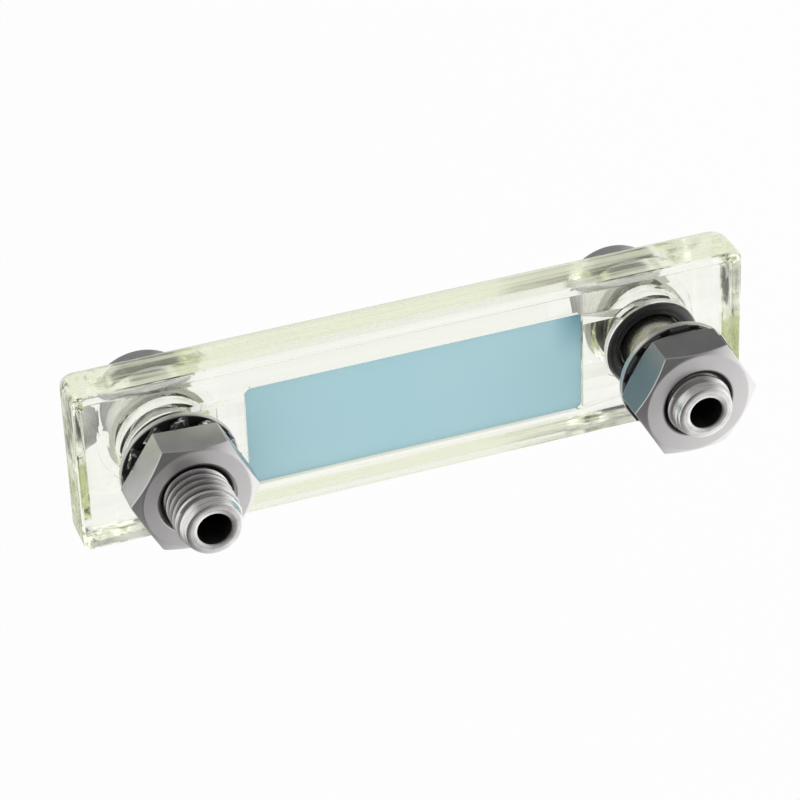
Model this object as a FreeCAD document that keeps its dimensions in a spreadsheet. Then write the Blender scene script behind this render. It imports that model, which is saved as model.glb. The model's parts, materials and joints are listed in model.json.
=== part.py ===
import FreeCAD, Part
import math
import os
import Sketcher

# Tank level gauge for two hollow M10 bolts at 76 mm centres, in millimetres.
#
# The clear housing stands upright: +Z points to the upper bolt, -Y to the
# front that is read, and +Y to the tank. The origin lies midway between the
# two bolt axes, in the plane that meets the tank wall.

doc = FreeCAD.newDocument("tank_level_gauge")

# ---------------------------------------------------------------- sizes

SIZES = (
    ("bolt_centres", 76.0),
    # clear housing, its front shell and its flush rear cover
    ("body_length", 105.1),
    ("body_width", 26.8),
    ("body_thickness", 10.8),
    ("front_round", 5.5),
    ("corner_round", 1.5),
    ("rim_wall", 1.5),
    ("cover_thickness", 3.8),
    ("cover_corner_round", 0.9),
    ("cover_clearance", 0.05),
    ("bond_gap", 0.03),
    ("front_wall", 3.3),
    ("channel_width", 10.0),
    ("chamber_radius", 7.5),
    ("bolt_hole_clearance", 0.25),
    ("spot_face_radius", 9.2),
    ("spot_face_depth", 0.3),
    # contrast sheet in its pocket
    ("sheet_length", 53.0),
    ("sheet_width", 17.0),
    ("sheet_thickness", 0.4),
    ("sheet_corner_round", 1.0),
    ("sheet_clearance", 0.1),
    ("sheet_pocket_depth", 1.0),
    # hollow bolts
    ("shank_radius", 5.0),
    ("bolt_reach", 20.0),
    ("tip_chamfer_length", 3.0),
    ("tip_face_radius", 4.2),
    ("bore_radius", 2.55),
    ("cross_hole_radius", 1.6),
    ("head_radius", 8.0),
    ("head_height", 7.0),
    ("head_edge", 0.6),
    ("socket_width", 7.0),
    ("socket_depth", 3.5),
    # rubber rings
    ("seal_stretch_clearance", 0.05),
    ("seal_seat_clearance", 0.1),
    ("head_seal_section", 1.9),
    ("head_seal_seat_depth", 1.6),
    ("tank_seal_section", 2.4),
    ("tank_seal_proud", 0.3),
    # washers
    ("washer_overhang", 0.5),
    ("washer_bore_clearance", 0.25),
    ("washer_thickness", 1.0),
    ("lock_ring_width", 1.85),
    ("lock_thickness", 0.85),
    ("lock_tooth_root_thickness", 0.7),
    ("lock_tooth_width", 3.0),
    ("lock_tooth_overhang", 0.35),
    ("lock_tooth_count", 12),
    ("upper_lock_height", 2.45),
    ("lower_lock_height", 0.95),
    # nuts
    ("nut_width", 17.0),
    ("nut_chamfer_inset", 0.3),
    ("nut_chamfer_slope", 30.0),
    ("upper_nut_mouth_flare", 0.87),
    ("lower_nut_mouth_flare", 0.42),
    ("thread_clearance", 0.03),
    ("upper_nut_height", 6.0),
    ("lower_nut_height", 6.75),
    ("upper_nut_turn", -3.0),
    # where each stack of washers starts, from the tank face
    ("upper_stack_start", 2.45),
    ("lower_stack_start", 8.3),
)

sheet = doc.addObject("Spreadsheet::Sheet", "sizes")
for row, (alias, value) in enumerate(SIZES, start=1):
    sheet.set(f"A{row}", alias)
    sheet.set(f"B{row}", str(value))
    sheet.setAlias(f"B{row}", alias)
doc.recompute()


def size(expression):
    """The number that an expression in the sheet's aliases comes to."""
    return float(sheet.evalExpression(expression))


# Lengths that more than one piece shares, written in the sheet's aliases.
HALF_CENTRES = "sizes.bolt_centres / 2"
CHANNEL_DEPTH = "sizes.body_thickness - sizes.front_wall"
HEAD_SEAT = "sizes.body_thickness - sizes.spot_face_depth"
TANK_SEAL_SEAT_DEPTH = "sizes.tank_seal_section - sizes.tank_seal_proud"
TANK_SEAL_SEAT_RADIUS = (
    "sizes.shank_radius + sizes.seal_stretch_clearance"
    " + sizes.tank_seal_section + sizes.seal_seat_clearance / 2"
)
HEAD_SEAL_SEAT_RADIUS = (
    "sizes.shank_radius + sizes.seal_stretch_clearance"
    " + sizes.head_seal_section + sizes.seal_seat_clearance"
)
WASHER_BORE = "sizes.shank_radius + sizes.washer_bore_clearance"
WASHER_RADIUS = "sizes.nut_width / 2 + sizes.washer_overhang"
LOCK_RING_RADIUS = f"{WASHER_BORE} + sizes.lock_ring_width"
LOCK_TOOTH_REACH = "sizes.nut_width / 2 + sizes.lock_tooth_overhang"
NUT_CHAMFER_RADIUS = "sizes.nut_width / 2 - sizes.nut_chamfer_inset"
CROSS_HOLE_LEVEL = "(sizes.cover_thickness + sizes.body_thickness - sizes.front_wall) / 2"

pieces = []


# ---------------------------------------------------------------- helpers

def bare(expression):
    """The same expression as the sheet itself reads it."""
    return expression.replace("sizes.", "")


def bind(thing, prop, expression):
    """Tie a property to the sheet."""
    thing.setExpression(prop, expression)


def new_body(label):
    """An empty body that becomes one piece."""
    body = doc.addObject("PartDesign::Body", label)
    body.Label = label
    pieces.append(body)
    return body


def origin_feature(body, role):
    """One of the body's own planes or axes."""
    return next(item for item in body.Origin.OriginFeatures if item.Role == role)


def new_sketch(body, name, role="XZ_Plane", offset=None):
    """A sketch on one of the body's planes, raised along the plane's normal."""
    sketch = body.newObject("Sketcher::SketchObject", name)
    sketch.AttachmentSupport = [(origin_feature(body, role), "")]
    sketch.MapMode = "FlatFace"
    if offset:
        bind(sketch, "AttachmentOffset.Base.z", offset)
    return sketch


def drive(sketch, kind, places, expression):
    """Add one dimension and tie it to the sheet."""
    index = sketch.addConstraint(Sketcher.Constraint(kind, *places, size(bare(expression))))
    bind(sketch, f"Constraints[{index}]", expression)


def draw_rectangle(sketch, width, height):
    """A rectangle centred on the sketch's origin."""
    half_w = size(bare(width)) / 2
    half_h = size(bare(height)) / 2
    corners = [(-half_w, -half_h), (half_w, -half_h), (half_w, half_h), (-half_w, half_h)]
    for start, end in zip(corners, corners[1:] + corners[:1]):
        line = Part.LineSegment(FreeCAD.Vector(*start, 0), FreeCAD.Vector(*end, 0))
        sketch.addGeometry(line, False)
    for edge in range(4):
        sketch.addConstraint(Sketcher.Constraint("Coincident", edge, 2, (edge + 1) % 4, 1))
    for edge, kind in enumerate(("Horizontal", "Vertical", "Horizontal", "Vertical")):
        sketch.addConstraint(Sketcher.Constraint(kind, edge))
    sketch.addConstraint(Sketcher.Constraint("Symmetric", 0, 1, 1, 2, -1, 1))
    drive(sketch, "DistanceX", (0, 1, 0, 2), width)
    drive(sketch, "DistanceY", (1, 1, 1, 2), height)


def draw_circle(sketch, radius, rise=None):
    """A circle at the origin, or above or below it by rise."""
    if rise is None:
        centre = 0.0
    else:
        centre = size(bare(rise))
    circle = Part.Circle(FreeCAD.Vector(0, centre, 0), FreeCAD.Vector(0, 0, 1), size(bare(radius)))
    index = sketch.addGeometry(circle, False)
    if rise is None:
        sketch.addConstraint(Sketcher.Constraint("Coincident", index, 3, -1, 1))
    else:
        sketch.addConstraint(Sketcher.Constraint("PointOnObject", index, 3, -2))
        drive(sketch, "DistanceY", (-1, 1, index, 3), rise)
    drive(sketch, "Radius", (index,), radius)


def draw_bolt_circles(sketch, radius):
    """One circle round each bolt axis."""
    draw_circle(sketch, radius, HALF_CENTRES)
    draw_circle(sketch, radius, f"-{HALF_CENTRES}")


def draw_profile(sketch, corners):
    """A closed outline whose corners are (radius, height) expressions."""
    points = [FreeCAD.Vector(size(bare(r)), size(bare(z)), 0) for r, z in corners]
    count = len(points)
    for index in range(count):
        line = Part.LineSegment(points[index], points[(index + 1) % count])
        sketch.addGeometry(line, False)
    for index, (radius, height) in enumerate(corners):
        sketch.addConstraint(Sketcher.Constraint("Coincident", index, 1, (index - 1) % count, 2))
        if radius == "0":
            sketch.addConstraint(Sketcher.Constraint("PointOnObject", index, 1, -2))
        else:
            drive(sketch, "DistanceX", (-1, 1, index, 1), radius)
        if height == "0":
            sketch.addConstraint(Sketcher.Constraint("PointOnObject", index, 1, -1))
        else:
            drive(sketch, "DistanceY", (-1, 1, index, 1), height)


def pad(body, sketch, length, midplane=False, reverse=False):
    """Extrude a sketch."""
    feature = body.newObject("PartDesign::Pad", f"{sketch.Name}_pad")
    feature.Profile = sketch
    feature.Midplane = midplane
    feature.Reversed = reverse
    bind(feature, "Length", length)
    doc.recompute()
    return feature


def pocket(body, sketch, depth=None, reverse=False, midplane=False):
    """Cut a sketch into the body, through all of it if no depth is given."""
    before = body.Shape.Volume
    feature = body.newObject("PartDesign::Pocket", f"{sketch.Name}_pocket")
    feature.Profile = sketch
    feature.Reversed = reverse
    feature.Midplane = midplane
    if depth is None:
        feature.Type = "ThroughAll"
    else:
        bind(feature, "Length", depth)
    doc.recompute()
    if body.Shape.Volume >= before:
        raise RuntimeError(f"{feature.Name} cut nothing")
    return feature


def revolve(body, sketch, kind="Revolution"):
    """Turn a profile round the sketch's vertical axis, to add or to cut."""
    before = body.Shape.Volume if kind == "Groove" else 0.0
    feature = body.newObject(f"PartDesign::{kind}", f"{sketch.Name}_{kind.lower()}")
    feature.Profile = sketch
    feature.ReferenceAxis = (sketch, ["V_Axis"])
    feature.Angle = 360.0
    doc.recompute()
    if kind == "Groove" and body.Shape.Volume >= before:
        raise RuntimeError(f"{feature.Name} cut nothing")
    return feature


def fillet(body, base, chosen, radius, name):
    """Round the edges of base that the test picks."""
    names = [f"Edge{index}" for index, edge in enumerate(base.Shape.Edges, start=1) if chosen(edge)]
    if not names:
        raise RuntimeError(f"{name} found no edges")
    feature = body.newObject("PartDesign::Fillet", name)
    feature.Base = (base, names)
    bind(feature, "Radius", radius)
    doc.recompute()
    return feature


def runs_through(edge):
    """True for a straight edge along the thickness of the housing."""
    box = edge.BoundBox
    return len(edge.Vertexes) == 2 and max(box.XLength, box.ZLength) < 1e-6 < box.YLength


def lies_at(level):
    """A test for edges that lie in the plane Y = level."""
    def chosen(edge):
        box = edge.BoundBox
        return abs(box.YMin - level) < 1e-6 and abs(box.YMax - level) < 1e-6
    return chosen


def stand_on_bolt(thing, end, level, turn=None):
    """Turn a piece made round +Z onto a bolt's axis, its foot at a level towards the tank."""
    sign = {"upper": "", "lower": "-"}[end]
    tilt = FreeCAD.Rotation(FreeCAD.Vector(1, 0, 0), -90)
    spin = FreeCAD.Rotation(FreeCAD.Vector(0, 0, 1), turn or 0)
    thing.Placement = FreeCAD.Placement(FreeCAD.Vector(0, 0, 0), tilt.multiply(spin))
    bind(thing, "Placement.Base.y", level)
    bind(thing, "Placement.Base.z", f"{sign}{HALF_CENTRES}")


def part_object(kind, name, **expressions):
    """A Part primitive with its sizes tied to the sheet."""
    thing = doc.addObject(f"Part::{kind}", name)
    for prop, expression in expressions.items():
        bind(thing, prop.replace("__", "."), expression)
    return thing


# ---------------------------------------------------------------- clear housing

def make_housing():
    """Front shell: large rounded front edges, seat for the cover, level channel."""
    body = new_body("sight_housing")
    outline = new_sketch(body, "housing_outline")
    draw_rectangle(outline, "sizes.body_width", "sizes.body_length")
    block = pad(body, outline, "sizes.body_thickness")
    corners = fillet(body, block, runs_through, "sizes.corner_round", "housing_corners")
    front_plane = lies_at(-size("body_thickness"))
    fillet(body, corners, front_plane, "sizes.front_round", "housing_front_round")

    seat = new_sketch(body, "cover_seat")
    draw_rectangle(
        seat,
        "sizes.body_width - 2 * sizes.rim_wall",
        "sizes.body_length - 2 * sizes.rim_wall",
    )
    seat_cut = pocket(body, seat, "sizes.cover_thickness + sizes.bond_gap", reverse=True)
    inner_x = size("body_width / 2 - rim_wall")

    def seat_corner(edge):
        return runs_through(edge) and abs(abs(edge.Vertexes[0].X) - inner_x) < 1e-6

    fillet(body, seat_cut, seat_corner, "sizes.cover_corner_round", "cover_seat_corners")

    channel = new_sketch(body, "level_channel")
    draw_rectangle(channel, "sizes.channel_width", "sizes.bolt_centres")
    pocket(body, channel, CHANNEL_DEPTH, reverse=True)
    chambers = new_sketch(body, "bolt_chambers")
    draw_bolt_circles(chambers, "sizes.chamber_radius")
    pocket(body, chambers, CHANNEL_DEPTH, reverse=True)
    holes = new_sketch(body, "bolt_holes")
    draw_bolt_circles(holes, "sizes.shank_radius + sizes.bolt_hole_clearance")
    pocket(body, holes, reverse=True)

    spots = new_sketch(body, "spot_faces", offset="sizes.body_thickness")
    draw_bolt_circles(spots, "sizes.spot_face_radius")
    pocket(body, spots, "sizes.spot_face_depth")
    seats = new_sketch(body, "head_seal_seats", offset="sizes.body_thickness")
    draw_bolt_circles(seats, HEAD_SEAL_SEAT_RADIUS)
    pocket(body, seats, "sizes.spot_face_depth + sizes.head_seal_seat_depth")


def make_cover():
    """Flush rear cover with the contrast sheet's pocket and the tank seals' seats."""
    body = new_body("rear_cover")
    inset = "2 * (sizes.rim_wall + sizes.cover_clearance)"
    outline = new_sketch(body, "cover_outline")
    draw_rectangle(outline, f"sizes.body_width - {inset}", f"sizes.body_length - {inset}")
    plate = pad(body, outline, "sizes.cover_thickness")
    fillet(body, plate, runs_through, "sizes.cover_corner_round", "cover_corners")

    recess = new_sketch(body, "sheet_pocket")
    draw_rectangle(
        recess,
        "sizes.sheet_width + 2 * sizes.sheet_clearance",
        "sizes.sheet_length + 2 * sizes.sheet_clearance",
    )
    recess_cut = pocket(body, recess, "sizes.sheet_pocket_depth", reverse=True)
    pocket_x = size("sheet_width / 2 + sheet_clearance")

    def pocket_corner(edge):
        return runs_through(edge) and abs(abs(edge.Vertexes[0].X) - pocket_x) < 1e-6

    fillet(
        body,
        recess_cut,
        pocket_corner,
        "sizes.sheet_corner_round + sizes.sheet_clearance",
        "sheet_pocket_corners",
    )

    seats = new_sketch(body, "tank_seal_seats")
    draw_bolt_circles(seats, TANK_SEAL_SEAT_RADIUS)
    pocket(body, seats, TANK_SEAL_SEAT_DEPTH, reverse=True)
    holes = new_sketch(body, "cover_bolt_holes")
    draw_bolt_circles(holes, "sizes.shank_radius + 2 * sizes.bolt_hole_clearance")
    pocket(body, holes, reverse=True)


def make_sheet():
    """Thin coloured sheet on the floor of the cover's pocket."""
    body = new_body("backing_sheet")
    outline = new_sketch(body, "sheet_outline")
    draw_rectangle(outline, "sizes.sheet_width", "sizes.sheet_length")
    leaf = pad(body, outline, "sizes.sheet_thickness")
    fillet(body, leaf, runs_through, "sizes.sheet_corner_round", "sheet_corners")
    level = "sizes.sheet_thickness + sizes.bond_gap - sizes.sheet_pocket_depth"
    bind(body, "Placement.Base.y", level)


# ---------------------------------------------------------------- bolts

def make_bolt(end):
    """Low-head hollow bolt, made head down round +Z and then laid on its axis."""
    body = new_body(f"{end}_bolt")
    foot = "sizes.head_height"
    tip = f"{foot} + {HEAD_SEAT} + sizes.bolt_reach"
    profile = new_sketch(body, f"{end}_bolt_profile")
    draw_profile(profile, (
        ("0", "0"),
        ("sizes.head_radius - sizes.head_edge", "0"),
        ("sizes.head_radius", "sizes.head_edge"),
        ("sizes.head_radius", foot),
        ("sizes.shank_radius", foot),
        ("sizes.shank_radius", f"{tip} - sizes.tip_chamfer_length"),
        ("sizes.tip_face_radius", tip),
        ("0", tip),
    ))
    revolve(body, profile)

    chamber_floor = f"{foot} + {HEAD_SEAT} - ({CHANNEL_DEPTH})"
    bore = new_sketch(body, f"{end}_bolt_bore")
    draw_profile(bore, (
        ("0", f"{chamber_floor} - sizes.bore_radius / 2"),
        ("sizes.bore_radius", chamber_floor),
        ("sizes.bore_radius", tip),
        ("0", tip),
    ))
    revolve(body, bore, "Groove")

    cross = new_sketch(body, f"{end}_cross_hole")
    draw_circle(cross, "sizes.cross_hole_radius", f"{foot} + {HEAD_SEAT} - {CROSS_HOLE_LEVEL}")
    pocket(body, cross, midplane=True)

    socket = new_sketch(body, f"{end}_socket", role="XY_Plane")
    draw_hexagon(socket, "sizes.socket_width / sqrt(3)")
    pocket(body, socket, "sizes.socket_depth", reverse=True)
    stand_on_bolt(body, end, f"-({HEAD_SEAT}) - {foot}")


def draw_hexagon(sketch, reach):
    """A regular hexagon with a corner on the sketch's horizontal axis."""
    radius = size(bare(reach))
    turns = [math.radians(60 * corner) for corner in range(6)]
    points = [FreeCAD.Vector(radius * math.cos(a), radius * math.sin(a), 0) for a in turns]
    for index in range(6):
        line = Part.LineSegment(points[index], points[(index + 1) % 6])
        sketch.addGeometry(line, False)
    guide = Part.Circle(FreeCAD.Vector(0, 0, 0), FreeCAD.Vector(0, 0, 1), radius)
    circle = sketch.addGeometry(guide, True)
    sketch.addConstraint(Sketcher.Constraint("Coincident", circle, 3, -1, 1))
    for index in range(6):
        sketch.addConstraint(Sketcher.Constraint("Coincident", index, 2, (index + 1) % 6, 1))
        sketch.addConstraint(Sketcher.Constraint("PointOnObject", index, 1, circle))
    for index in range(1, 6):
        sketch.addConstraint(Sketcher.Constraint("Equal", 0, index))
    sketch.addConstraint(Sketcher.Constraint("PointOnObject", 0, 1, -1))
    drive(sketch, "Radius", (circle,), reach)


# ---------------------------------------------------------------- seals

def make_head_seal(end):
    """Rubber ring squeezed flat between the bolt's head and its seat."""
    ring = part_object(
        "Torus",
        f"{end}_head_ring",
        Radius1="sizes.shank_radius + sizes.seal_stretch_clearance + sizes.head_seal_section / 2",
        Radius2="sizes.head_seal_section / 2",
        Placement__Base__z="sizes.head_seal_seat_depth / 2",
    )
    slot = part_object(
        "Cylinder",
        f"{end}_head_seat",
        Radius=HEAD_SEAL_SEAT_RADIUS,
        Height="sizes.head_seal_seat_depth",
    )
    seal = doc.addObject("Part::Common", f"{end}_head_seal")
    seal.Base = ring
    seal.Tool = slot
    seal.Label = f"{end}_head_seal"
    stand_on_bolt(seal, end, f"-({HEAD_SEAT})")
    pieces.append(seal)


def make_tank_seal(end):
    """Rubber ring in the cover, standing proud of the tank face."""
    seal = part_object(
        "Torus",
        f"{end}_tank_seal",
        Radius1="sizes.shank_radius + sizes.seal_stretch_clearance + sizes.tank_seal_section / 2",
        Radius2="sizes.tank_seal_section / 2",
    )
    seal.Label = f"{end}_tank_seal"
    stand_on_bolt(seal, end, "sizes.tank_seal_proud - sizes.tank_seal_section / 2")
    pieces.append(seal)


# ---------------------------------------------------------------- washers and nuts

def make_flat_washer(end):
    """Plain washer, the first of the stack."""
    body = new_body(f"{end}_flat_washer")
    outline = new_sketch(body, f"{end}_washer_outline", role="XY_Plane")
    draw_circle(outline, WASHER_RADIUS)
    draw_circle(outline, WASHER_BORE)
    pad(body, outline, "sizes.washer_thickness")
    stand_on_bolt(body, end, f"sizes.{end}_stack_start")


def make_lock_washer(end):
    """Externally toothed washer: each tooth is twisted until it spans the washer's height."""
    body = new_body(f"{end}_lock_washer")
    ring = new_sketch(body, f"{end}_lock_ring", role="XY_Plane")
    draw_circle(ring, LOCK_RING_RADIUS)
    draw_circle(ring, WASHER_BORE)
    pad(body, ring, "sizes.lock_thickness", midplane=True)

    twist = (
        f"asin(sizes.{end}_lock_height"
        " / sqrt(sizes.lock_tooth_width ^ 2 + sizes.lock_thickness ^ 2))"
        " - atan(sizes.lock_thickness / sizes.lock_tooth_width)"
    )
    ring_middle = f"{WASHER_BORE} + sizes.lock_ring_width / 2"
    root = new_sketch(body, f"{end}_tooth_root", role="YZ_Plane", offset=ring_middle)
    draw_rectangle(root, "sizes.lock_tooth_width", "sizes.lock_tooth_root_thickness")
    tip = new_sketch(body, f"{end}_tooth_tip", role="YZ_Plane", offset=LOCK_TOOTH_REACH)
    draw_rectangle(tip, "sizes.lock_tooth_width", "sizes.lock_thickness")
    bind(tip, "AttachmentOffset.Rotation.Angle", twist)
    tooth = body.newObject("PartDesign::AdditiveLoft", f"{end}_tooth")
    tooth.Profile = root
    tooth.Sections = [tip]
    doc.recompute()

    teeth = body.newObject("PartDesign::PolarPattern", f"{end}_teeth")
    teeth.Originals = [tooth]
    teeth.Axis = (origin_feature(body, "Z_Axis"), [""])
    teeth.Angle = 360.0
    bind(teeth, "Occurrences", "sizes.lock_tooth_count")
    body.Tip = teeth
    middle = f"sizes.washer_thickness + sizes.{end}_lock_height / 2"
    stand_on_bolt(body, end, f"sizes.{end}_stack_start + {middle}")


def make_nut(end, both_chamfered):
    """Hexagon nut: a prism turned down to a cone at its faces, bored and countersunk."""
    height = f"sizes.{end}_nut_height"
    prism = part_object(
        "Prism",
        f"{end}_nut_prism",
        Circumradius="sizes.nut_width / sqrt(3)",
        Height=height,
    )
    prism.Polygon = 6
    prism.Placement.Rotation = FreeCAD.Rotation(FreeCAD.Vector(0, 0, 1), 30)
    spread = f"{height} / tan(sizes.nut_chamfer_slope)"
    blank = prism
    for face in ("outer", "inner") if both_chamfered else ("outer",):
        cone = part_object(
            "Cone",
            f"{end}_nut_{face}_cone",
            Radius1=f"{NUT_CHAMFER_RADIUS} + {spread}",
            Radius2=NUT_CHAMFER_RADIUS,
            Height=height,
        )
        if face == "inner":
            cone.Placement.Rotation = FreeCAD.Rotation(FreeCAD.Vector(1, 0, 0), 180)
            bind(cone, "Placement.Base.z", height)
        chamfered = doc.addObject("Part::Common", f"{end}_nut_{face}_chamfer")
        chamfered.Base = blank
        chamfered.Tool = cone
        blank = chamfered

    thread = "sizes.shank_radius + sizes.thread_clearance"
    bore = part_object("Cylinder", f"{end}_nut_bore", Radius=thread, Height=height)
    flare = f"sizes.{end}_nut_mouth_flare"
    outer_mouth = part_object(
        "Cone",
        f"{end}_nut_outer_mouth",
        Radius1=thread,
        Radius2=f"{thread} + {flare}",
        Height=flare,
        Placement__Base__z=f"{height} - {flare}",
    )
    inner_mouth = part_object(
        "Cone",
        f"{end}_nut_inner_mouth",
        Radius1=f"{thread} + {flare}",
        Radius2=thread,
        Height=flare,
    )
    drill = doc.addObject("Part::MultiFuse", f"{end}_nut_drill")
    drill.Shapes = [bore, outer_mouth, inner_mouth]
    nut = doc.addObject("Part::Cut", f"{end}_nut")
    nut.Base = blank
    nut.Tool = drill
    nut.Label = f"{end}_nut"
    washers = f"sizes.washer_thickness + sizes.{end}_lock_height"
    turn = size("upper_nut_turn") if end == "upper" else 0
    stand_on_bolt(nut, end, f"sizes.{end}_stack_start + {washers}", turn)
    pieces.append(nut)


# ---------------------------------------------------------------- assembly

make_housing()
make_cover()
make_sheet()
for bolt_end in ("upper", "lower"):
    make_bolt(bolt_end)
    make_head_seal(bolt_end)
    make_tank_seal(bolt_end)
    make_flat_washer(bolt_end)
    make_lock_washer(bolt_end)
    make_nut(bolt_end, both_chamfered=bolt_end == "lower")
doc.recompute()

for item in doc.Objects:
    if "Invalid" in item.State or "Error" in item.State:
        raise RuntimeError(f"{item.Name} failed: {item.State}")
for piece in pieces:
    shape = piece.Shape
    if shape.isNull() or not shape.isValid() or len(shape.Solids) != 1:
        raise RuntimeError(f"{piece.Label} has no valid single solid")

os.makedirs("parts", exist_ok=True)
for piece in pieces:
    piece.Shape.exportStep(f"parts/{piece.Label}.step")
    box = piece.Shape.BoundBox
    print(
        f"{piece.Label:20s} {piece.Shape.Volume:9.2f} mm3"
        f"  X {box.XMin:7.2f} {box.XMax:7.2f}"
        f"  Y {box.YMin:7.2f} {box.YMax:7.2f}"
        f"  Z {box.ZMin:7.2f} {box.ZMax:7.2f}"
    )
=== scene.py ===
import json
import math

import bmesh
import bpy
from mathutils import Matrix, Vector


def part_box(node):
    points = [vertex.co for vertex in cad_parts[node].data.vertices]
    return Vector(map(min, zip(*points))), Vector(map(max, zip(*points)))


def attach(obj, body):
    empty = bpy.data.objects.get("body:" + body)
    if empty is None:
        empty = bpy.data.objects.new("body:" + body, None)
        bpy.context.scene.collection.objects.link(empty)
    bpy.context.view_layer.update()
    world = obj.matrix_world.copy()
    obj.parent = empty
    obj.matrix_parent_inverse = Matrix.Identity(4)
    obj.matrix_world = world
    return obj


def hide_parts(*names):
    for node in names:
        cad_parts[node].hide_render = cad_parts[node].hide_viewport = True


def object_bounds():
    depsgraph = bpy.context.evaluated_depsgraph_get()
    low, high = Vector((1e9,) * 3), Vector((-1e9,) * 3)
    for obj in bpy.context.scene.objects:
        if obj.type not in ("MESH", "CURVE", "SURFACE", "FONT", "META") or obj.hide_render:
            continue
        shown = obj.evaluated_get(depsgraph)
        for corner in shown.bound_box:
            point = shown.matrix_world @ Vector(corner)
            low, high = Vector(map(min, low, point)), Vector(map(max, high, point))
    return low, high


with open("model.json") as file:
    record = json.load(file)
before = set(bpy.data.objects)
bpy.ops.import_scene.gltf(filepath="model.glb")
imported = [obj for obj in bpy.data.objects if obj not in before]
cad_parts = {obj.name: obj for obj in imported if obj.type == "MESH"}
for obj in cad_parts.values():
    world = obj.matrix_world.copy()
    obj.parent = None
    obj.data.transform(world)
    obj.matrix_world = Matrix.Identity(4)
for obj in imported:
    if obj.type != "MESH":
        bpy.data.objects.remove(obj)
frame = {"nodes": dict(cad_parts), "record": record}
cad_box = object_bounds()
MM = 0.001

# Sizes in millimetres. A level is a height over the body's tank side, along the bolts. The ends of
# each piece come from the frame's own boxes.
SHANK_RADIUS = 5.0
BORE_RADIUS = 2.55
BORE_FLOOR = -8.8
CROSS_HOLE_RADIUS = 1.6
CROSS_HOLE_LEVEL = -5.65
HEAD_RADIUS = 8.0
HEAD_FOOT = -10.5
HEAD_EDGE = 0.6
HEAD_FOOT_EDGE = 0.15
SOCKET_WIDTH = 7.0
SOCKET_DEPTH = 3.5
SOCKET_LEAD = 0.5
SOCKET_POINT = 1.6
TIP_LENGTH = 3.0
TIP_RADIUS = 4.2
TIP_SWELL = 1.25
THREAD_START = 9.2
THREAD_PITCH = 1.5
THREAD_DEPTH = 0.62
NUT_WIDTH = 17.0
NUT_FACE_RADIUS = 8.2
NUT_THREAD_RADIUS = 4.45
NUT_EDGE = 0.13
WASHER_HOLE_RADIUS = 5.25
WASHER_EDGE = 0.16
CORNER_ROUND = 1.5
REAR_EDGE = 0.45
JOINT_FLARE = 0.45
JOINT_LAP = 0.1
JOINT_BORDER = 1.0

# A point this near to a face or outline lies on it, and a ring this small closes a turned end.
CLOSE = 0.01
CENTRE = 0.001

# How far in from the rim, and how far below the end, the turned tip's rings lie.
TIP_RINGS = ((0.0, 0.35), (0.12, 0.12), (0.38, 0.0))
# How far out from the bore, and how far below the end, the rings of its mouth lie.
MOUTH_RINGS = ((0.3, 0.0), (0.06, 0.12), (0.0, 0.4))
# One turn of the thread: how far along the pitch, and which part of the full depth.
THREAD_TURN = (
    (0.00, 0.0), (0.10, 0.0), (0.18, 0.16), (0.30, 0.60), (0.42, 0.96),
    (0.50, 1.0), (0.58, 0.96), (0.70, 0.60), (0.82, 0.16), (0.90, 0.0),
)

# In metres: points of a mesh nearer than a weld are one point, and faces thinner than a sliver go.
SEAM_WELD = 1.5e-6
TURNED_WELD = 2e-6
FRAME_WELD = 1e-6
SLIVER = 1e-7

# Points on each turned ring.
TURNS = 144

# Angles in degrees: the nuts' chamfers, and from where on an edge shows, is broken or is a rim.
NUT_SLOPE = 30
PIECE_SHARP = 35
NUT_SHARP = 25
WASHER_SHARP = 50
BODY_SHARP = 20
BROKEN_FROM = 28
RIM_FROM = 57
FLAT_WITHIN = 0.4


def corner_box(node):
    """Lowest and highest corner of a piece of the frame, in millimetres."""
    low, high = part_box(node)
    return Vector(low) / MM, Vector(high) / MM


def axis_height(node):
    """Height of the bolt axis that a round piece stands on."""
    low, high = corner_box(node)
    return (low.z + high.z) / 2


# ---------------------------------------------------------------- shader maths

class Value:
    """An output socket of a node tree, with the operators that shader maths needs."""

    def __init__(self, tree, socket):
        self.tree = tree
        self.socket = socket

    def _math(self, operation, *values):
        node = self.tree.nodes.new("ShaderNodeMath")
        node.operation = operation
        for slot, value in zip(node.inputs, values):
            feed(self.tree, slot, value)
        return Value(self.tree, node.outputs[0])

    def __add__(self, other):
        return self._math("ADD", self, other)

    def __sub__(self, other):
        return self._math("SUBTRACT", self, other)

    def __rsub__(self, other):
        return self._math("SUBTRACT", other, self)

    def __mul__(self, other):
        return self._math("MULTIPLY", self, other)

    def __truediv__(self, other):
        return self._math("DIVIDE", self, other)

    def __pow__(self, other):
        return self._math("POWER", self, other)

    __radd__ = __add__
    __rmul__ = __mul__

    def size(self):
        """The value without its sign."""
        return self._math("ABSOLUTE", self)

    def clamped(self):
        """The value held between 0 and 1."""
        return self._math("MINIMUM", self._math("MAXIMUM", self, 0.0), 1.0)

    def step(self, low, high):
        """A soft step from 0 at low to 1 at high."""
        part = ((self - low) / (high - low)).clamped()
        return part * part * (3 - 2 * part)

    def band(self, rise, fall):
        """1 between a soft step up and a soft step down, otherwise 0."""
        return self.step(*rise) * (1 - self.step(*fall))


def feed(tree, slot, value):
    """Link a socket to a value, or set it to a constant."""
    if isinstance(value, Value):
        tree.links.new(value.socket, slot)
    elif isinstance(value, bpy.types.NodeSocket):
        tree.links.new(value, slot)
    elif isinstance(value, (tuple, list)) and len(value) == 3 and slot.type == "RGBA":
        slot.default_value = (*value, 1.0)
    else:
        slot.default_value = value


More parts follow.
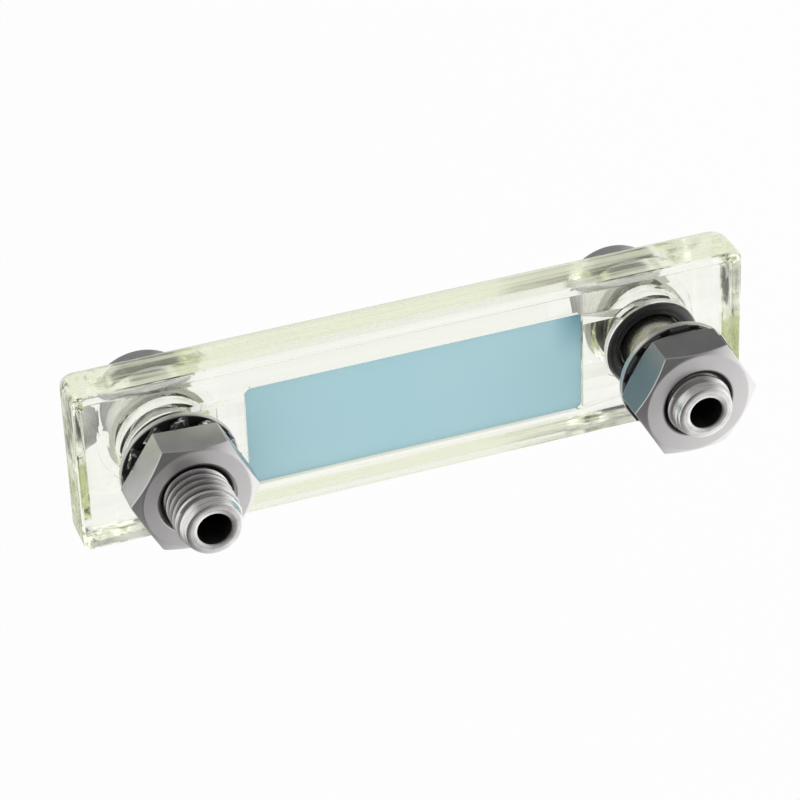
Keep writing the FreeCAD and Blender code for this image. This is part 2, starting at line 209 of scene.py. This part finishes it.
class Nodes:
    """The node tree of a material or of the world, with one method that makes its nodes."""

    def __init__(self, tree):
        self.tree = tree

    def node(self, kind, settings=None, output=0, **sockets):
        """One node: its settings first, then its sockets by name or as n0, n1. Gives one output."""
        made = self.tree.nodes.new(kind)
        for name, value in (settings or {}).items():
            setattr(made, name, value)
        for name, value in sockets.items():
            numbered = name[0] == "n" and name[1:].isdigit()
            key = int(name[1:]) if numbered else name.replace("_", " ")
            feed(self.tree, made.inputs[key], value)
        return Value(self.tree, made.outputs[output])

    def parts(self, vector):
        """The three numbers of a vector."""
        first = self.node("ShaderNodeSeparateXYZ", n0=vector)
        return [Value(self.tree, socket) for socket in first.socket.node.outputs]

    def mix(self, factor, first, second):
        """A shader between two shaders."""
        return self.node("ShaderNodeMixShader", n0=factor, n1=first, n2=second)

    def ray(self, kind):
        """1 for light paths of this kind, otherwise 0."""
        return self.node("ShaderNodeLightPath", output=f"Is {kind} Ray")

    def seen(self):
        """1 for what the eye sees, directly or through the clear body, otherwise 0."""
        return (self.ray("Camera") + self.ray("Transmission")).clamped()


class Finish(Nodes):
    """A material and the nodes that make its surface."""

    def __init__(self, name, **constants):
        self.material = bpy.data.materials.new(name)
        self.material.use_nodes = True
        super().__init__(self.material.node_tree)
        self.shader = self.tree.nodes["Principled BSDF"]
        self.output = self.tree.nodes["Material Output"]
        for socket, value in constants.items():
            self.set(socket.replace("_", " "), value)

    def set(self, socket, value):
        """Set or link one socket of the surface shader."""
        feed(self.tree, self.shader.inputs[socket], value)

    def cover(self, shader):
        """Make the surface with another shader than the plain one."""
        feed(self.tree, self.output.inputs["Surface"], shader)

    def blend(self, factor, first, second):
        """A colour between two colours."""
        colours = {"data_type": "RGBA"}
        return self.node("ShaderNodeMix", colours, output=2, n0=factor, n6=first, n7=second)

    def place(self):
        """Where a point of the surface lies, in millimetres."""
        here = self.node("ShaderNodeTexCoord", output="Object")
        return [part * 1000 for part in self.parts(here)]

    def place_round(self, axis):
        """The place, the height over the nearer bolt axis and the distance from it."""
        x, y, z = self.place()
        rise = z.size() - axis
        return x, y, z, rise, (x * x + rise * rise) ** 0.5

    def facing(self):
        """The surface's own direction, as three values."""
        return self.parts(self.node("ShaderNodeNewGeometry", output="Normal"))

    def noise(self, place, per_mm, detail=3.0):
        """Noise between 0 and 1, with its own fineness along each of three values."""
        x, y, z = (part * fine for part, fine in zip(place, per_mm))
        vector = self.node("ShaderNodeCombineXYZ", n0=x, n1=y, n2=z)
        fixed = {"Scale": 1.0, "Detail": detail, "Roughness": NOISE_ROUGHNESS}
        return self.node("ShaderNodeTexNoise", Vector=vector, **fixed)

    def bump(self, height, distance, strength=1.0):
        """Raise the surface by a height between 0 and 1 times a distance in millimetres."""
        size = distance * MM
        raised = self.node("ShaderNodeBump", Strength=strength, Distance=size, Height=height)
        self.set("Normal", raised)


# ---------------------------------------------------------------- finishes

NOISE_ROUGHNESS = 0.55
WHITE = (1.0, 1.0, 1.0)
TINT = (0.83, 0.87, 0.56)
TINT_DENSITY = 18.0
VEIL = (0.83, 0.85, 0.66)
VEIL_SHARE, VEIL_CLEARED = 0.42, 0.35
SHADOW_TINT = (0.93, 0.95, 0.88)

TURNED_DULL, TURNED_BRIGHT = (0.46, 0.445, 0.44), (0.97, 0.95, 0.94)
# Painted shade in the thread roots.
THREAD_ROOT_SHADE = (0.05, 0.047, 0.045)
# Painted shade deep in the hollow bore.
BORE_SHADE = (0.012, 0.011, 0.010)
# Painted reflection of a white studio on the head's underside.
UNDER_HEAD_REFLECTION = (0.93, 0.93, 0.92)
# Painted shade, olive like a reflection of the tinted body, on the neck between seal and washer.
NECK_SHADE = (0.20, 0.19, 0.10)
# Painted shade on the side of the head.
HEAD_SIDE_SHADE = (0.30, 0.30, 0.33)
# Painted reflection, near white and less metallic, on the head's side by its foot.
HEAD_FOOT_REFLECTION = (0.90, 0.90, 0.88)

NUT_FACE_DULL, NUT_FACE_BRIGHT = (0.57, 0.555, 0.553), (0.81, 0.79, 0.788)
NUT_FLAT_DULL, NUT_FLAT_BRIGHT = (0.36, 0.36, 0.36), (0.66, 0.66, 0.65)
# Painted shade on the lower nut's flats.
NUT_FLAT_SHADE = (0.12, 0.12, 0.125)
# Painted shade in the countersunk thread mouth.
NUT_MOUTH_SHADE = (0.03, 0.028, 0.027)

WASHER_DULL, WASHER_BRIGHT = (0.34, 0.335, 0.32), (0.62, 0.61, 0.59)
# Painted highlight along the washer's rounded rim.
WASHER_RIM_HIGHLIGHT = (0.8, 0.79, 0.77)
# Black oxide that is also painted shade, and painted glints on the teeth.
BLACK_OXIDE_AND_SHADE, TOOTH_GLINT = (0.018, 0.017, 0.016), (0.85, 0.84, 0.82)
RUBBER_BLACK, RUBBER_BLOOM = (0.006, 0.006, 0.007), (0.016, 0.015, 0.018)
SHEET_DEEP, SHEET_PALE = (0.38, 0.62, 0.685), (0.455, 0.68, 0.73)
# Painted shadow at the sheet's corner by the lower bolt.
SHEET_CORNER_SHADOW = (0.08, 0.26, 0.34)
SHEET_CORNER_LENGTH = 5.5


def clear_plastic():
    """Clear moulded plastic, tinted yellow-green, streaked and hazy except in its broad faces."""
    finish = Finish("clear_plastic", Base_Color=WHITE, IOR=1.49, Transmission_Weight=1.0)
    place = finish.place()
    broad = finish.facing()[1].size().step(0.3, 0.8)
    ripple = finish.noise(place, (0.1, 1.3, 0.05), detail=1.0)
    scuff = finish.noise(place, (2.2, 2.2, 0.7), detail=2.0)
    streak = finish.noise(place, (0.4, 0.9, 0.02), detail=1.0).step(0.4, 0.6)
    finish.set("Roughness", 0.15 - broad * 0.105)
    finish.bump(ripple * 0.8 + scuff * 0.04, 0.06, 0.5)
    tint = finish.node("ShaderNodeVolumeAbsorption", Color=TINT, Density=TINT_DENSITY)
    feed(finish.tree, finish.output.inputs["Volume"], tint)
    veil = finish.node("ShaderNodeBsdfDiffuse", Color=VEIL)
    # The veil lies on the outer faces only: what is seen through them stays clear.
    share = (VEIL_SHARE - broad * VEIL_CLEARED) * (streak * 1.1 + 0.45)
    hazed = finish.mix(finish.ray("Camera") * share, finish.shader.outputs[0], veil)
    # Shadows of the clear body are light ones.
    through = finish.node("ShaderNodeBsdfTransparent", Color=SHADOW_TINT)
    finish.cover(finish.mix(finish.ray("Shadow"), hazed, through))
    return finish.material


def bolt_steel(axis):
    """Turned steel with fine rings; painted shade in the thread roots, the bore, on the neck and on
    the head's side, and painted reflections under the head and at its foot.
    """
    finish = Finish("bolt_steel", Anisotropic=0.3)
    x, y, _, rise, radius = finish.place_round(axis)
    rings = finish.noise((radius, y, 0.0), (3.0, 9.0, 1.0))
    streaks = finish.noise((x, y, rise), (0.325, 5.2, 0.325), detail=2.0)
    fine = finish.noise((x, y, rise), (6.0, 9.0, 6.0), detail=2.0)
    inside = 1 - radius.step(BORE_RADIUS - 0.05, BORE_RADIUS + 0.15)
    root = 1 - radius.step(SHANK_RADIUS - THREAD_DEPTH, SHANK_RADIUS - 0.1)
    threaded = y.band((THREAD_START - 1.2, THREAD_START + 0.3), (17.0, 18.4))
    root = root * threaded * radius.step(2.9, 3.2)
    under_head = (1 - (y - HEAD_FOOT).size().step(0.02, 0.1)) * radius.step(5.1, 5.3)
    neck = y.band((-0.5, 0.2), (7.0, 8.2)) * radius.step(4.8, 4.9)
    head_side = radius.step(7.6, 7.95) * (1 - y.step(HEAD_FOOT - 0.3, HEAD_FOOT))
    foot = head_side * y.step(HEAD_FOOT - 4.0, HEAD_FOOT - 2.5)
    shade = (streaks * 0.5 + fine * 0.15 + rings * 0.5).step(0.35, 0.75)
    colour = finish.blend(shade, TURNED_DULL, TURNED_BRIGHT)
    # Painted shade in the thread roots.
    colour = finish.blend(root * 0.85, colour, THREAD_ROOT_SHADE)
    # Painted shade deep in the hollow bore.
    colour = finish.blend(inside * 0.96, colour, BORE_SHADE)
    # Painted reflection of a white studio on the head's underside.
    colour = finish.blend(under_head * 0.8, colour, UNDER_HEAD_REFLECTION)
    # Painted shade, olive like a reflection of the tinted body, on the neck between seal and
    # washer.
    colour = finish.blend(neck * 0.6, colour, NECK_SHADE)
    # Painted shade on the side of the head, above its foot.
    colour = finish.blend((head_side - foot) * 0.45, colour, HEAD_SIDE_SHADE)
    # Painted reflection, near white and less metallic, on the head's side by its foot.
    colour = finish.blend(foot * 0.7, colour, HEAD_FOOT_REFLECTION)
    finish.set("Base Color", colour)
    # Less metallic where the painted reflection lies.
    finish.set("Metallic", 1 - foot * 0.6)
    roughness = 0.15 + streaks * 0.14 + rings * 0.08
    finish.set("Roughness", roughness + inside * 0.3 + under_head * 0.35)
    finish.bump(rings * 0.7 + fine * 0.3, 0.014, 0.45)
    return finish.material


def nut_steel(axis):
    """Turned outer face and darker flats, with painted shade on the lower nut's flats and in the
    thread mouth.
    """
    finish = Finish("nut_steel", Metallic=1.0)
    x, y, z, rise, radius = finish.place_round(axis)
    outward = finish.facing()[1]
    rings = finish.noise((radius, 0.0, y), (9.0, 1.0, 2.0))
    patch = finish.noise((x, y, rise), (0.35, 0.35, 0.35), detail=4.0)
    grain = finish.noise((x, y, rise), (5.0, 5.0, 5.0))
    flat = 1 - outward.size().step(0.25, 0.5)
    lower = 1 - z.step(-1.0, 1.0)
    mouth = 1 - radius.step(5.35, 5.85)
    shade = (patch * 0.5 + grain * 0.3 + rings * 0.25).clamped()
    face = finish.blend(shade, NUT_FACE_DULL, NUT_FACE_BRIGHT)
    side = finish.blend(shade, NUT_FLAT_DULL, NUT_FLAT_BRIGHT)
    colour = finish.blend(flat, face, side)
    # Painted shade on the lower nut's flats.
    colour = finish.blend(flat * lower * 0.55, colour, NUT_FLAT_SHADE)
    # Painted shade in the countersunk thread mouth.
    colour = finish.blend(mouth * 0.9, colour, NUT_MOUTH_SHADE)
    finish.set("Base Color", colour)
    finish.set("Roughness", 0.2 + grain * 0.12 + patch * 0.1 + mouth * 0.3)
    # The turned face falls away a little from its middle.
    dome = 1 - outward.step(0.95, 0.99) * (radius * radius) / 80.0
    finish.bump(rings * 0.0028 + grain * 0.004 + dome * 0.45, 1.0)
    return finish.material


def washer_steel(axis):
    """Stamped washer with a painted highlight on its rounded edge and duller faces."""
    finish = Finish("washer_steel", Metallic=1.0)
    x, y, _, rise, radius = finish.place_round(axis)
    grain = finish.noise((x, y, rise), (4.0, 10.0, 4.0))
    patch = finish.noise((x, y, rise), (0.5, 0.5, 0.5), detail=2.0)
    shade = (grain * 0.5 + patch * 0.5).clamped()
    colour = finish.blend(shade, WASHER_DULL, WASHER_BRIGHT)
    # Painted highlight along the washer's rounded rim.
    colour = finish.blend(radius.step(8.6, 8.95) * 0.5, colour, WASHER_RIM_HIGHLIGHT)
    finish.set("Base Color", colour)
    finish.set("Roughness", 0.22 + grain * 0.2)
    finish.bump(grain, 0.02, 0.4)
    return finish.material


def lock_steel(axis):
    """Blackened spring steel, its black also standing for painted shade, with painted glints on the
    upper washer's teeth.
    """
    finish = Finish("lock_steel")
    x, y, z, rise, radius = finish.place_round(axis)
    grain = finish.noise((x, y, rise), (1.6, 1.6, 1.6), detail=2.0)
    # Painted glints on the upper washer's teeth only.
    glint_mask = radius.step(7.9, 8.7) * grain.step(0.55, 0.64) * z.step(-1.0, 1.0)
    finish.set("Base Color", finish.blend(glint_mask, BLACK_OXIDE_AND_SHADE, TOOTH_GLINT))
    finish.set("Metallic", glint_mask * 0.9 + 0.1)
    finish.set("Roughness", 0.32 + grain * 0.2 - glint_mask * 0.15)
    finish.bump(grain, 0.05, 0.5)
    return finish.material


def seal_rubber():
    """Black moulded rubber with a faint bloom."""
    finish = Finish("seal_rubber", Specular_IOR_Level=0.9)
    place = finish.place()
    bloom = finish.noise(place, (0.6, 0.6, 0.6), detail=4.0)
    grain = finish.noise(place, (9.0, 9.0, 9.0), detail=2.0)
    finish.set("Base Color", finish.blend(bloom * 0.8, RUBBER_BLACK, RUBBER_BLOOM))
    finish.set("Roughness", 0.24 + bloom * 0.05)
    finish.bump(grain, 0.02, 0.15)
    return finish.material


def blue_sheet():
    """Matt blue contrast sheet, a little uneven, with a painted shadow at one corner by the lower
    bolt.
    """
    finish = Finish("blue_sheet", Specular_IOR_Level=0.35)
    x, y, z = finish.place()
    low = corner_box("backing_sheet")[0]
    cloud = finish.noise((x, 0.0, z), (0.06, 1.0, 0.06), detail=2.0)
    grain = finish.noise((x, y, z), (7.0, 1.0, 7.0), detail=2.0)
    # Painted shadow at the sheet's corner by the lower bolt.
    corner = (1 - z.step(low.z, low.z + SHEET_CORNER_LENGTH)) * (1 - x.step(low.x, 0.0))
    colour = finish.blend((cloud * 0.7 + grain * 0.15).clamped(), SHEET_DEEP, SHEET_PALE)
    finish.set("Base Color", finish.blend(corner * 0.7, colour, SHEET_CORNER_SHADOW))
    finish.set("Roughness", 0.42 + grain * 0.15)
    finish.bump(grain * 0.4, 0.02, 0.3)
    return finish.material


BOLT_AXIS = axis_height("upper_bolt")
FINISHES = {
    "clear_plastic": clear_plastic(),
    "blue_sheet": blue_sheet(),
    "bolt_steel": bolt_steel(BOLT_AXIS),
    "nut_steel": nut_steel(BOLT_AXIS),
    "washer_steel": washer_steel(BOLT_AXIS),
    "lock_steel": lock_steel(BOLT_AXIS),
    "seal_rubber": seal_rubber(),
}
for entry in frame["record"]["subparts"]:
    name = "lock_steel" if "lock_washer" in entry["node"] else entry["material_slot"]
    for slot in frame["nodes"][entry["node"]].material_slots:
        slot.material = FINISHES[name]


# ---------------------------------------------------------------- turned pieces

def circle(radius, level):
    """A round ring of a turned piece."""
    return lambda angle: (radius, level)


def hexagon(width, level, turn=0.0):
    """A six-sided ring with flats at a distance of half the width, first flat at the turn."""
    def point(angle):
        sector = math.radians(60)
        off = (angle - turn + sector / 2) % sector - sector / 2
        return width / 2 / math.cos(off), level
    return point


def add_row(mesh, axis, points):
    """One closed row of points round a bolt axis, each given by its radius and level."""
    row = []
    for index, (radius, level) in enumerate(points):
        angle = 2 * math.pi * index / TURNS
        spot = Vector((radius * math.cos(angle), level, axis + radius * math.sin(angle)))
        row.append(mesh.verts.new(spot * MM))
    return row


def add_rings(mesh, rings, axis, closed=False):
    """Skin the surface through a list of rings round a bolt axis."""
    angles = [2 * math.pi * index / TURNS for index in range(TURNS)]
    rows = [add_row(mesh, axis, [ring(angle) for angle in angles]) for ring in rings]
    pairs = list(zip(rows, rows[1:]))
    if closed:
        pairs.append((rows[-1], rows[0]))
    for first, second in pairs:
        for index in range(TURNS):
            after = (index + 1) % TURNS
            mesh.faces.new((first[index], first[after], second[after], second[index]))


def add_thread(mesh, axis, start, end, limit):
    """Skin a helical thread from start to end, kept inside a limiting radius."""
    steps = len(THREAD_TURN)
    count = (math.ceil((end - start) / THREAD_PITCH) + 2) * steps
    grid = []
    for index in range(count):
        along, depth = THREAD_TURN[index % steps]
        foot = start + (index // steps - 1 + along) * THREAD_PITCH
        points = []
        for turn in range(TURNS):
            level = min(max(foot + THREAD_PITCH * turn / TURNS, start), end)
            fade = min(1.0, (level - start) / THREAD_PITCH)
            points.append((min(SHANK_RADIUS - THREAD_DEPTH * depth * fade, limit(level)), level))
        grid.append(add_row(mesh, axis, points))
    for index in range(count - 1):
        for turn in range(TURNS - 1):
            mesh.faces.new((
                grid[index][turn], grid[index][turn + 1],
                grid[index + 1][turn + 1], grid[index + 1][turn],
            ))
        # After a full turn, a row goes on as the row that starts one pitch further.
        if index + steps + 1 < count:
            mesh.faces.new((
                grid[index][-1], grid[index + steps][0],
                grid[index + steps + 1][0], grid[index + 1][-1],
            ))


def finish_piece(name, mesh, node, slot, sharp=PIECE_SHARP):
    """Turn the built surface into a piece that stands for a node of the frame."""
    bmesh.ops.remove_doubles(mesh, verts=mesh.verts, dist=TURNED_WELD)
    bmesh.ops.dissolve_degenerate(mesh, edges=mesh.edges, dist=SLIVER)
    bmesh.ops.recalc_face_normals(mesh, faces=mesh.faces)
    piece = to_object(name, mesh)
    piece.data.shade_smooth()
    piece.data.set_sharp_from_angle(angle=math.radians(sharp))
    piece.data.materials.append(FINISHES[slot])
    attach(piece, "root")
    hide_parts(node)
    return piece


def to_object(name, mesh):
    """An object of the scene made from a built surface."""
    data = bpy.data.meshes.new(name)
    mesh.to_mesh(data)
    mesh.free()
    made = bpy.data.objects.new(name, data)
    bpy.context.collection.objects.link(made)
    return made


def soften(piece, width):
    """Break the sharp edges of a piece a little."""
    bevel = piece.modifiers.new("broken_edges", "BEVEL")
    bevel.width = width * MM
    bevel.segments = 2
    bevel.limit_method = "ANGLE"
    bevel.angle_limit = math.radians(BROKEN_FROM)


def combine(piece, tool, operation):
    """Join a tool to a piece or cut it away, weld the seam and drop the tool."""
    step = piece.modifiers.new("combine", "BOOLEAN")
    step.operation = operation
    step.solver = "EXACT"
    step.object = tool
    bpy.context.view_layer.update()
    graph = bpy.context.evaluated_depsgraph_get()
    result = bpy.data.meshes.new_from_object(piece.evaluated_get(graph))
    piece.modifiers.remove(step)
    bpy.data.objects.remove(tool)
    mesh = bmesh.new()
    mesh.from_mesh(result)
    bmesh.ops.remove_doubles(mesh, verts=mesh.verts, dist=SEAM_WELD)
    bmesh.ops.dissolve_degenerate(mesh, edges=mesh.edges, dist=SEAM_WELD)
    bmesh.ops.triangulate(mesh, faces=[face for face in mesh.faces if len(face.verts) > 4])
    bmesh.ops.dissolve_degenerate(mesh, edges=mesh.edges, dist=SEAM_WELD)
    mesh.to_mesh(result)
    mesh.free()
    piece.data = result


# ---------------------------------------------------------------- bolts, nuts and washers

def make_bolt(end):
    """Hollow low-head bolt with a rolled thread, a cross hole and a turned tip."""
    node = f"{end}_bolt"
    low, high = corner_box(node)
    axis = axis_height(node)
    top, tip = low.y, high.y

    def cone(level):
        fall = max(0.0, level - (tip - TIP_LENGTH)) / TIP_LENGTH
        return SHANK_RADIUS - (SHANK_RADIUS - TIP_RADIUS) * fall ** TIP_SWELL

    mesh = bmesh.new()
    head = [
        circle(CENTRE, top + SOCKET_DEPTH + SOCKET_POINT),
        hexagon(SOCKET_WIDTH, top + SOCKET_DEPTH),
        hexagon(SOCKET_WIDTH, top + SOCKET_LEAD),
        circle(SOCKET_WIDTH * 0.6, top),
        circle(HEAD_RADIUS - HEAD_EDGE, top),
    ]
    for degrees in (22.5, 45, 67.5, 90):
        turn = math.radians(degrees)
        inward = HEAD_EDGE * (1 - math.sin(turn))
        head.append(circle(HEAD_RADIUS - inward, top + HEAD_EDGE * (1 - math.cos(turn))))
    head += [
        circle(HEAD_RADIUS, HEAD_FOOT - HEAD_FOOT_EDGE),
        circle(HEAD_RADIUS - HEAD_FOOT_EDGE, HEAD_FOOT),
        circle(SHANK_RADIUS, HEAD_FOOT),
        circle(SHANK_RADIUS, THREAD_START),
    ]
    add_rings(mesh, head, axis)
    thread_end = tip - TIP_RINGS[0][1]
    add_thread(mesh, axis, THREAD_START, thread_end, cone)
    rim = cone(thread_end)
    tail = [circle(rim - inward, tip - below) for inward, below in TIP_RINGS]
    tail += [circle(BORE_RADIUS + outward, tip - below) for outward, below in MOUTH_RINGS]
    tail += [circle(BORE_RADIUS, BORE_FLOOR + BORE_RADIUS / 2), circle(CENTRE, BORE_FLOOR)]
    add_rings(mesh, tail, axis)
    piece = finish_piece(f"{end}_bolt_turned", mesh, node, "bolt_steel")
    drill_cross_hole(piece, axis)


def drill_cross_hole(piece, axis):
    """Cut the cross hole through the shank of a bolt."""
    mesh = bmesh.new()
    bmesh.ops.create_cone(
        mesh,
        cap_ends=True,
        segments=48,
        radius1=CROSS_HOLE_RADIUS * MM,
        radius2=CROSS_HOLE_RADIUS * MM,
        depth=3 * SHANK_RADIUS * MM,
    )
    bmesh.ops.translate(mesh, verts=mesh.verts, vec=Vector((0, CROSS_HOLE_LEVEL, axis)) * MM)
    combine(piece, to_object("drill", mesh), "DIFFERENCE")
    piece.data.set_sharp_from_angle(angle=math.radians(PIECE_SHARP))


def make_nut(end, turn, flare, both_chamfered):
    """Hexagon nut with turned chamfers and a countersunk thread mouth."""
    node = f"{end}_nut"
    low, high = corner_box(node)
    slope = math.tan(math.radians(NUT_SLOPE))

    def chamfer(level, sign):
        def point(angle):
            reach, _ = hexagon(NUT_WIDTH, 0, turn)(angle)
            return reach, level - sign * (reach - NUT_FACE_RADIUS) * slope
        return point

    foot = chamfer(low.y, -1) if both_chamfered else hexagon(NUT_WIDTH, low.y, turn)
    mouth = SHANK_RADIUS + flare
    rings = [
        circle(NUT_THREAD_RADIUS, low.y + mouth - NUT_THREAD_RADIUS),
        circle(NUT_THREAD_RADIUS, high.y - mouth + NUT_THREAD_RADIUS),
        circle(mouth, high.y),
        circle(NUT_FACE_RADIUS, high.y),
        chamfer(high.y, 1),
        foot,
    ]
    if both_chamfered:
        rings.append(circle(NUT_FACE_RADIUS, low.y))
    rings.append(circle(mouth, low.y))
    mesh = bmesh.new()
    add_rings(mesh, rings, axis_height(node), closed=True)
    piece = finish_piece(f"{end}_nut_turned", mesh, node, "nut_steel", NUT_SHARP)
    soften(piece, NUT_EDGE)


def make_washer(end):
    """Plain washer with rounded edges."""
    node = f"{end}_flat_washer"
    low, high = corner_box(node)
    outer = (high.x - low.x) / 2
    rings = [
        circle(WASHER_HOLE_RADIUS, low.y), circle(WASHER_HOLE_RADIUS, high.y),
        circle(outer, high.y), circle(outer, low.y),
    ]
    mesh = bmesh.new()
    add_rings(mesh, rings, axis_height(node), closed=True)
    piece = finish_piece(f"{end}_washer_stamped", mesh, node, "washer_steel", WASHER_SHARP)
    soften(piece, WASHER_EDGE)


# ---------------------------------------------------------------- clear body

def frame_copy(node, shift=None):
    """A welded copy of a piece of the frame, each point moved by the shift in millimetres."""
    mesh = bmesh.new()
    mesh.from_mesh(frame["nodes"][node].data)
    bmesh.ops.remove_doubles(mesh, verts=mesh.verts, dist=FRAME_WELD)
    if shift:
        for point in mesh.verts:
            point.co += shift(point.co / MM) * MM
    bmesh.ops.dissolve_limit(
        mesh, angle_limit=math.radians(FLAT_WITHIN), verts=mesh.verts, edges=mesh.edges
    )
    return mesh


def on_outline(spot):
    """True for a point of the body's outline, which has rounded corners."""
    across = abs(spot.x) - cad_box[1].x / MM + CORNER_ROUND
    along = abs(spot.z) - cad_box[1].z / MM + CORNER_ROUND
    if across > 0 and along > 0:
        return math.hypot(across, along) > CORNER_ROUND - CLOSE
    return max(across, along) > CORNER_ROUND - CLOSE


def on_rear_rim(edge):
    """True for an edge of the housing's outline on the tank side."""
    if edge.calc_face_angle(0.0) < math.radians(RIM_FROM):
        return False
    spots = [point.co / MM for point in edge.verts]
    return all(spot.y > -CLOSE and on_outline(spot) for spot in spots)


def make_clear_body():
    """Housing and cover bonded into one clear body, the joint left as a fine groove."""
    low, high = corner_box("rear_cover")

    def into_housing(spot):
        """Grow the cover's floor into the housing, so that the two solids overlap."""
        move = Vector((0, 0, 0))
        if spot.y < low.y + CLOSE:
            move.y = -JOINT_LAP
            if abs(spot.x) > high.x - JOINT_BORDER:
                move.x = math.copysign(JOINT_FLARE, spot.x)
            if abs(spot.z) > high.z - JOINT_BORDER:
                move.z = math.copysign(JOINT_FLARE, spot.z)
        return move

    shell = frame_copy("sight_housing")
    rim = [edge for edge in shell.edges if on_rear_rim(edge)]
    bmesh.ops.bevel(
        shell, geom=rim, offset=REAR_EDGE * MM, segments=3, profile=0.5, affect="EDGES"
    )
    body = to_object("clear_body", shell)
    combine(body, to_object("cover_copy", frame_copy("rear_cover", into_housing)), "UNION")
    body.data.shade_smooth()
    body.data.set_sharp_from_angle(angle=math.radians(BODY_SHARP))
    body.data.materials.clear()
    body.data.materials.append(FINISHES["clear_plastic"])
    flat = body.modifiers.new("flat_faces_stay_flat", "WEIGHTED_NORMAL")
    flat.keep_sharp = True
    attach(body, "root")
    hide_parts("sight_housing", "rear_cover")


make_clear_body()
for bolt_end in ("upper", "lower"):
    make_bolt(bolt_end)
    make_washer(bolt_end)
make_nut("upper", turn=math.radians(3), flare=0.9, both_chamfered=False)
make_nut("lower", turn=0.0, flare=0.45, both_chamfered=True)


# ---------------------------------------------------------------- stage, lights and camera

# The floor's half width and its depth below the gauge in metres, and the levels of its whites.
FLOOR_REACH = 3.0
FLOOR_DROP = 0.06
FLOOR_WHITE = (0.9, 0.9, 0.9)
FLOOR_GLOW = 0.93
STUDIO_LEVEL = 0.85


def make_floor():
    """Plain white floor below the gauge, which keeps the gauge's shadow."""
    mesh = bpy.data.meshes.new("floor")
    level = cad_box[0].z - FLOOR_DROP
    corners = [
        (side * FLOOR_REACH, depth * FLOOR_REACH, level)
        for side, depth in ((-1, -1), (1, -1), (1, 1), (-1, 1))
    ]
    mesh.from_pydata(corners, [], [(0, 1, 2, 3)])
    finish = Finish("floor_white", Base_Color=FLOOR_WHITE, Roughness=0.9)
    glow = finish.node("ShaderNodeEmission", Color=WHITE)
    finish.cover(finish.mix(finish.seen() * FLOOR_GLOW, finish.shader.outputs[0], glow))
    mesh.materials.append(finish.material)
    floor = bpy.data.objects.new("floor", mesh)
    bpy.context.collection.objects.link(floor)
    floor.visible_glossy = False


def make_world():
    """White to the eye. Steel mirrors a studio, brightest past the lower bolt."""
    world = bpy.data.worlds.new("studio")
    bpy.context.scene.world = world
    world.use_nodes = True
    nodes = Nodes(world.node_tree)
    x, y, z = nodes.parts(nodes.node("ShaderNodeTexCoord", output="Generated"))
    key = (x * 0.45 + y * 0.1 - z * 0.885).step(0.1, 0.95)
    rear = (z * 0.94 - y * 0.35).step(0.45, 0.95)
    tank_side = y.step(0.2, 0.8)
    studio = key * 0.95 + rear * 0.6 + 0.36 - tank_side * 0.22
    mirrored = nodes.ray("Glossy")
    level = studio * mirrored + (1 - mirrored) * STUDIO_LEVEL
    lit = nodes.node("ShaderNodeBackground", Color=level)
    white = nodes.node("ShaderNodeBackground", Color=WHITE)
    surface = world.node_tree.nodes["World Output"].inputs["Surface"]
    feed(world.node_tree, surface, nodes.mix(nodes.seen(), lit, white))
    # The background isn't sampled as a lamp: such samples don't tell the kinds of ray apart.
    world.cycles.sampling_method = "NONE"


def make_lamp(name, place, size, power):
    """A soft round lamp that looks at the gauge."""
    data = bpy.data.lights.new(name, "AREA")
    data.shape = "DISK"
    data.size = size
    data.energy = power
    lamp = bpy.data.objects.new(name, data)
    lamp.location = place
    lamp.visible_glossy = False
    lamp.rotation_mode = "QUATERNION"
    lamp.rotation_quaternion = (-Vector(place)).to_track_quat("-Z", "Y")
    bpy.context.collection.objects.link(lamp)


CAMERA_PLACE = Vector((-307.28, 435.36, 150.63)) * MM
CAMERA_RIGHT = Vector((0.03283, 0.34211, -0.93909))
CAMERA_DOWN = Vector((0.83128, 0.51230, 0.21569))


def make_camera():
    """The camera, at the angle that the gauge is shown from."""
    data = bpy.data.cameras.new("camera")
    data.sensor_width = 36.0
    data.lens = 167.56
    data.clip_start = 0.01
    data.clip_end = 20.0
    camera = bpy.data.objects.new("camera", data)
    right = CAMERA_RIGHT.normalized()
    up = (-CAMERA_DOWN - right * right.dot(-CAMERA_DOWN)).normalized()
    back = right.cross(up)
    turn = Matrix((right, up, back)).transposed()
    camera.matrix_world = Matrix.Translation(CAMERA_PLACE) @ turn.to_4x4()
    bpy.context.collection.objects.link(camera)
    bpy.context.scene.camera = camera


make_floor()
make_world()
make_lamp("key", place=(-0.5, 0.35, 0.3), size=0.5, power=1.0)
make_lamp("fill", place=(0.3, 0.6, -0.2), size=0.6, power=0.5)
make_camera()
scene = bpy.context.scene
scene.view_settings.view_transform = "Standard"
# Light goes through many faces of the clear body before it leaves.
scene.cycles.max_bounces = 32
scene.cycles.glossy_bounces = 24
scene.cycles.transmission_bounces = 24
